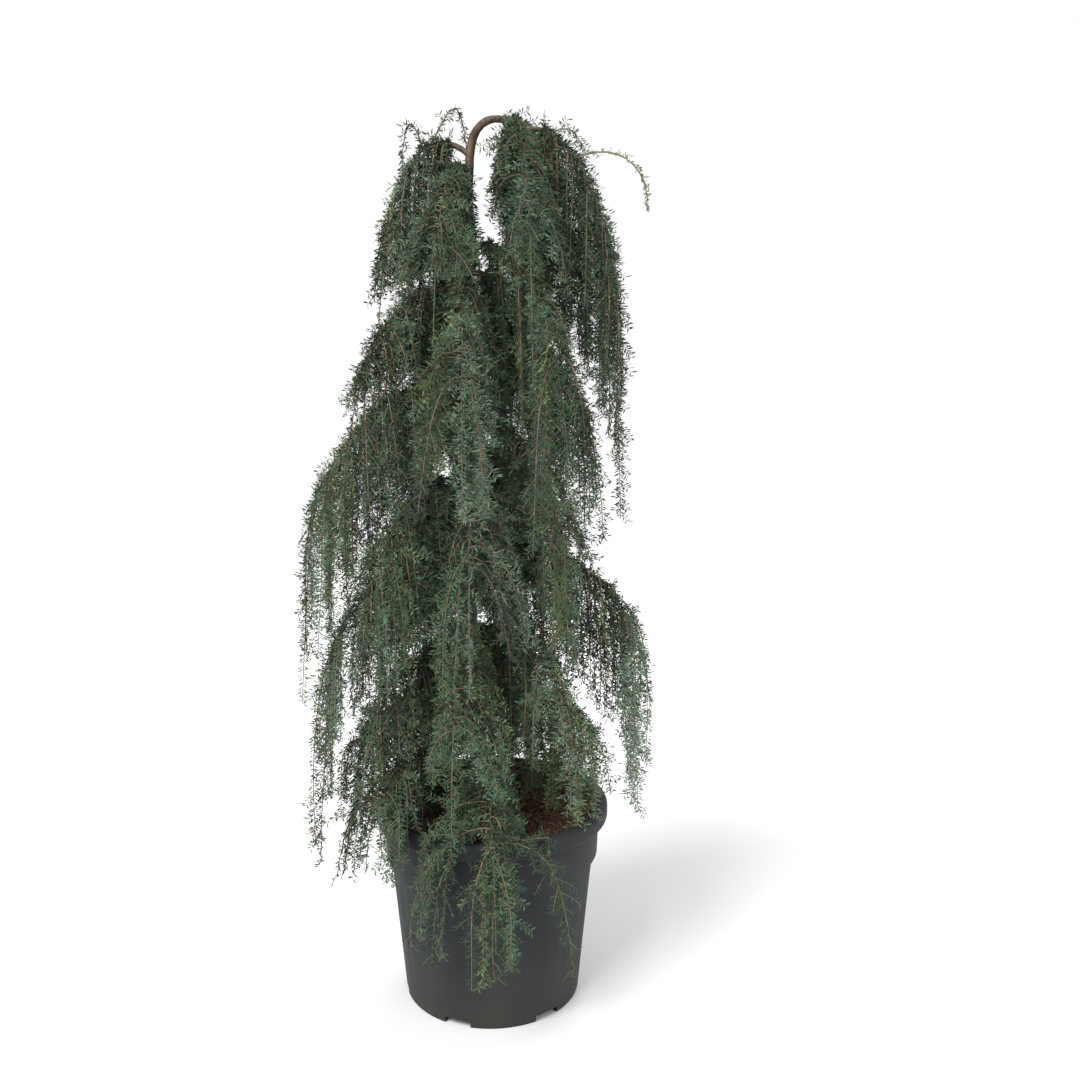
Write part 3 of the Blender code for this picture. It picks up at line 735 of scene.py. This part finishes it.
def segments_of(line, outwards, twist):
    """A shoot as straight segments: their starts, ends, sides, and faces that look up and out, twisted."""
    along = unit(np.diff(line, axis=0))
    face = outwards + UP * 0.7
    face = unit(face - along * (along @ face)[:, None])
    side = np.cross(face, along)
    turned = side * math.cos(twist) + face * math.sin(twist)
    return line[:-1], line[1:], turned, np.cross(along, turned)


def side_twigs(limb, line, side, face, luck, is_whip):
    """Side twigs in two rows along a shoot, each two segments that bend down towards the tip."""
    lengths = np.concatenate([[0], np.cumsum(np.linalg.norm(np.diff(line, axis=0), axis=1))])
    count = max(2, int(lengths[-1] / TWIG_PITCH))
    at = (np.arange(count) + luck.uniform(0.2, 0.8, count)) / count * lengths[-1]
    base = np.stack([np.interp(at, lengths, line[:, axis]) for axis in range(3)], -1)
    piece = np.clip(np.searchsorted(lengths, at) - 1, 0, len(side) - 1)
    along = unit(np.diff(line, axis=0))[piece]
    part = at / lengths[-1]
    hand = np.where(np.arange(count) % 2, 1.0, -1.0)
    size = TWIG_LENGTH * np.minimum(1, 0.45 + 1.6 * part) * (1 - 0.62 * part**2)
    size *= luck.uniform(0.55, 1.2, count) * (WHIP_TWIGS if is_whip else 1)
    aim = side[piece] * hand[:, None] * luck.uniform(0.5, 0.95, count)[:, None]
    aim += along * luck.uniform(0.5, 0.9, count)[:, None]
    aim += face[piece] * luck.uniform(-0.6, 0.65, count)[:, None]
    aim = unit(aim)
    bent = unit(aim - UP * luck.uniform(0.1, 0.55, count)[:, None])
    knee = base + aim * (size * 0.5)[:, None]
    tip = knee + bent * (size * 0.5)[:, None]
    fits = in_own_space(limb, tip, is_whip) | (part > SHOOT_END)
    fits &= np.all((tip > np.array(cad_low) - PAST_BOX) & (tip < np.array(cad_high) + PAST_BOX), axis=1)
    return base[fits], knee[fits], tip[fits], side[piece][fits], face[piece][fits]


def prism(starts, ends, radius_at_start, radius_at_end):
    """Three-sided stems between pairs of points, as points and triangles."""
    along = unit(ends - starts)
    across = unit(np.cross(along, SLANT))
    other = np.cross(along, across)
    points = []
    for place, radius in ((starts, radius_at_start), (ends, radius_at_end)):
        for turn in THIRDS:
            way = across * math.cos(turn) + other * math.sin(turn)
            points.append(place + way * np.asarray(radius)[..., None])
    points = np.stack(points, 1)
    faces = []
    for corner in range(3):
        after = (corner + 1) % 3
        faces += [(corner, after, 3 + after), (corner, 3 + after, 3 + corner)]
    offsets = np.arange(len(starts))[:, None, None] * 6
    return points.reshape(-1, 3), (np.array(faces)[None] + offsets).reshape(-1, 3)


# The needles
# Short flat needles, dark and bluish green, which lie in two ranks on every twig and shoot. Young
# sprays are paler. Each tint is a mesh of its own, and sprays are dealt out to them.

NEEDLE_LENGTH = 0.0112
NEEDLE_WIDTH = 0.0023
NEEDLE_PITCH = 0.0037
NEEDLE_WIDEST = 0.55

# Each tint: its name, its two mottled colours and its share of the sprays.
TINTS = (
    ("needles_deep", (0.008, 0.026, 0.012), (0.018, 0.043, 0.020), 0.19),
    ("needles_dark", (0.014, 0.041, 0.020), (0.028, 0.064, 0.032), 0.19),
    ("needles_green", (0.027, 0.070, 0.034), (0.048, 0.104, 0.049), 0.19),
    ("needles_soft", (0.044, 0.100, 0.054), (0.076, 0.148, 0.080), 0.17),
    ("needles_grey", (0.080, 0.145, 0.096), (0.132, 0.212, 0.140), 0.15),
    ("needles_young", (0.120, 0.195, 0.080), (0.188, 0.268, 0.116), 0.11),
)


def needles_on(starts, ends, side, face, luck):
    """Needles in two ranks along segments: lozenges of two triangles, as points and triangles."""
    length = np.linalg.norm(ends - starts, axis=1)
    count = np.maximum(2, (length / NEEDLE_PITCH).astype(int)) * 2
    owner = np.repeat(np.arange(len(starts)), count)
    order = np.arange(count.sum()) - np.repeat(np.cumsum(count) - count, count)
    total = len(owner)
    share = (order // 2 + luck.uniform(0, 1, total)) / (count[owner] / 2)
    root = starts[owner] + (ends - starts)[owner] * share[:, None]
    along = unit(ends - starts)[owner]
    flank = unit(side[owner] - along * np.sum(side[owner] * along, axis=1, keepdims=True))
    rank = np.where(order % 2, 1.0, -1.0)
    aim = flank * rank[:, None] + along * luck.uniform(0.25, 0.8, total)[:, None]
    aim = unit(aim + face[owner] * luck.normal(0.15, 0.45, total)[:, None])
    size = NEEDLE_LENGTH * luck.uniform(0.65, 1.2, total)
    edge = unit(np.cross(aim, face[owner] + luck.normal(0, 0.55, (total, 3)))) * NEEDLE_WIDTH / 2
    middle = root + aim * (size * NEEDLE_WIDEST)[:, None]
    points = np.stack([root, middle - edge, root + aim * size[:, None], middle + edge], 1)
    faces = np.array([(0, 1, 2), (0, 2, 3)])[None] + np.arange(total)[:, None, None] * 4
    return points.reshape(-1, 3), faces.reshape(-1, 3)


def tint_of(luck):
    """Which tint a spray is dealt."""
    pick = luck.random()
    for index, (_, _, _, share) in enumerate(TINTS):
        pick -= share
        if pick < 0:
            return index
    return 0


shoot_parts, twig_parts, end_parts = [], [], []
needle_parts = [[] for _ in TINTS]
for limb in LIMBS:
    luck = np.random.default_rng(len(limb.name) * 101 + limb.turn)
    for line, outwards, is_whip in shoots_of(limb):
        starts, ends, side, face = segments_of(line, outwards, luck.normal(0, TWIST))
        taper = SHOOT_RADIUS * np.linspace(*SHOOT_TAPER, len(line))
        shoot_parts.append(prism(starts, ends, taper[:-1], taper[1:]))
        base, knee, tip, _, twig_face = side_twigs(limb, line, side, face, luck, is_whip)
        thick = np.full(len(base), TWIG_RADIUS)
        at_knee, at_tip = (thick * share for share in TWIG_TAPER)
        twig_parts.append(prism(base, knee, thick, at_knee))
        end_parts.append(prism(knee, tip, at_knee, at_tip))
        tint = tint_of(luck)
        needle_parts[tint].append(needles_on(starts, ends, side, face, luck))
        across = unit(np.cross(knee - base, twig_face))
        for low, high in ((base, knee), (knee, tip)):
            needle_parts[tint].append(needles_on(low, high, across, twig_face, luck))

masses = ["foliage_" + limb.name for limb in LIMBS]
shoot_bark = mottled("shoot_bark", (0.115, 0.078, 0.045), (0.240, 0.175, 0.105), 60.0, 500.0, 0.4)
twig_bark = mottled("twig_bark", (0.150, 0.120, 0.060), (0.270, 0.215, 0.120), 45.0, 500.0, 0.3)
keep(mesh_object("shoot_stems", *join(shoot_parts)), shoot_bark, "bark", *masses)
keep(mesh_object("side_twigs", *join(twig_parts)), twig_bark, "bark")
keep(mesh_object("twig_ends", *join(end_parts)), twig_bark, "bark")
for (name, first, second, _), parts in zip(TINTS, needle_parts):
    needle_skin = mottled(name, first, second, 38.0, 300.0, 0.15)
    keep(mesh_object(name, *join(parts), False), needle_skin, "needles")

# The studio
# A pale floor under white surroundings, a soft sun high on the left as the key, two soft boxes at
# the right and behind, and the camera at the photograph's place.

CAMERA_AT = (0.2347, -1.8601, 1.1168)
CAMERA_YAW = -0.0817
CAMERA_PITCH = 0.1696
CAMERA_ROLL = 0.0024
LENS = 37.97
SENSOR = 36.0
SUN_STRENGTH = 2.8
SUN_ANGLE = 0.55
SUN_FROM = (-0.75, -1.0, 1.35)
AIR_LIGHT = 0.52
FLOOR_SIZE = 30
FLOOR_WHITE = 0.93
MIDDLE_HEIGHT = 0.75


def floor():
    """The plain floor that the pot stands on."""
    bpy.ops.mesh.primitive_plane_add(size=FLOOR_SIZE)
    made = bpy.context.object
    made.name = "floor"
    material = bpy.data.materials.new("floor")
    material.use_nodes = True
    surface = material.node_tree.nodes["Principled BSDF"]
    surface.inputs["Base Color"].default_value = (FLOOR_WHITE, FLOOR_WHITE, FLOOR_WHITE, 1)
    surface.inputs["Roughness"].default_value = 0.9
    made.data.materials.append(material)


def soft_light(name, place, size, power):
    """A square soft box that faces the middle of the plant."""
    data = bpy.data.lights.new(name, "AREA")
    data.shape, data.size, data.energy = "SQUARE", size, power
    made = bpy.data.objects.new(name, data)
    made.location = place
    aim = Vector((0, 0, MIDDLE_HEIGHT)) - Vector(place)
    made.rotation_euler = aim.to_track_quat("-Z", "Y").to_euler()
    bpy.context.scene.collection.objects.link(made)


def camera():
    """The camera, turned by its yaw, then its pitch, then its roll."""
    yaw, pitch, roll = CAMERA_YAW, CAMERA_PITCH, CAMERA_ROLL
    forward = Vector((math.sin(yaw) * math.cos(pitch), math.cos(yaw) * math.cos(pitch), -math.sin(pitch)))
    right = Vector((math.cos(yaw), -math.sin(yaw), 0))
    above = right.cross(forward)
    across = right * math.cos(roll) + above * math.sin(roll)
    upright = above * math.cos(roll) - right * math.sin(roll)
    data = bpy.data.cameras.new("camera")
    data.lens, data.sensor_width = LENS, SENSOR
    made = bpy.data.objects.new("camera", data)
    turned = Matrix((across, upright, -forward)).transposed()
    made.matrix_world = Matrix.Translation(CAMERA_AT) @ turned.to_4x4()
    bpy.context.scene.collection.objects.link(made)
    bpy.context.scene.camera = made


def sun():
    """The key light: a broad soft sun from high on the left, which lights the floor evenly."""
    data = bpy.data.lights.new("key", "SUN")
    data.energy, data.angle = SUN_STRENGTH, SUN_ANGLE
    made = bpy.data.objects.new("key", data)
    made.rotation_euler = (-Vector(SUN_FROM)).to_track_quat("-Z", "Y").to_euler()
    bpy.context.scene.collection.objects.link(made)


def studio_air():
    """White surroundings: bright where the camera looks, dimmer as light, so that shadows stay."""
    world = bpy.data.worlds.new("studio")
    world.use_nodes = True
    nodes, link = world.node_tree.nodes, world.node_tree.links.new
    path, strength = nodes.new("ShaderNodeLightPath"), nodes.new("ShaderNodeMapRange")
    strength.inputs["To Min"].default_value = AIR_LIGHT
    strength.inputs["To Max"].default_value = 1.0
    link(path.outputs["Is Camera Ray"], strength.inputs["Value"])
    link(strength.outputs["Result"], nodes["Background"].inputs["Strength"])
    nodes["Background"].inputs["Color"].default_value = (1, 1, 1, 1)
    bpy.context.scene.world = world


floor()
sun()
soft_light("fill", (2.4, -1.6, 1.6), 2.0, 22)
soft_light("back", (0.8, 2.4, 2.4), 2.0, 34)
studio_air()
bpy.context.scene.view_settings.view_transform = "Standard"
camera()
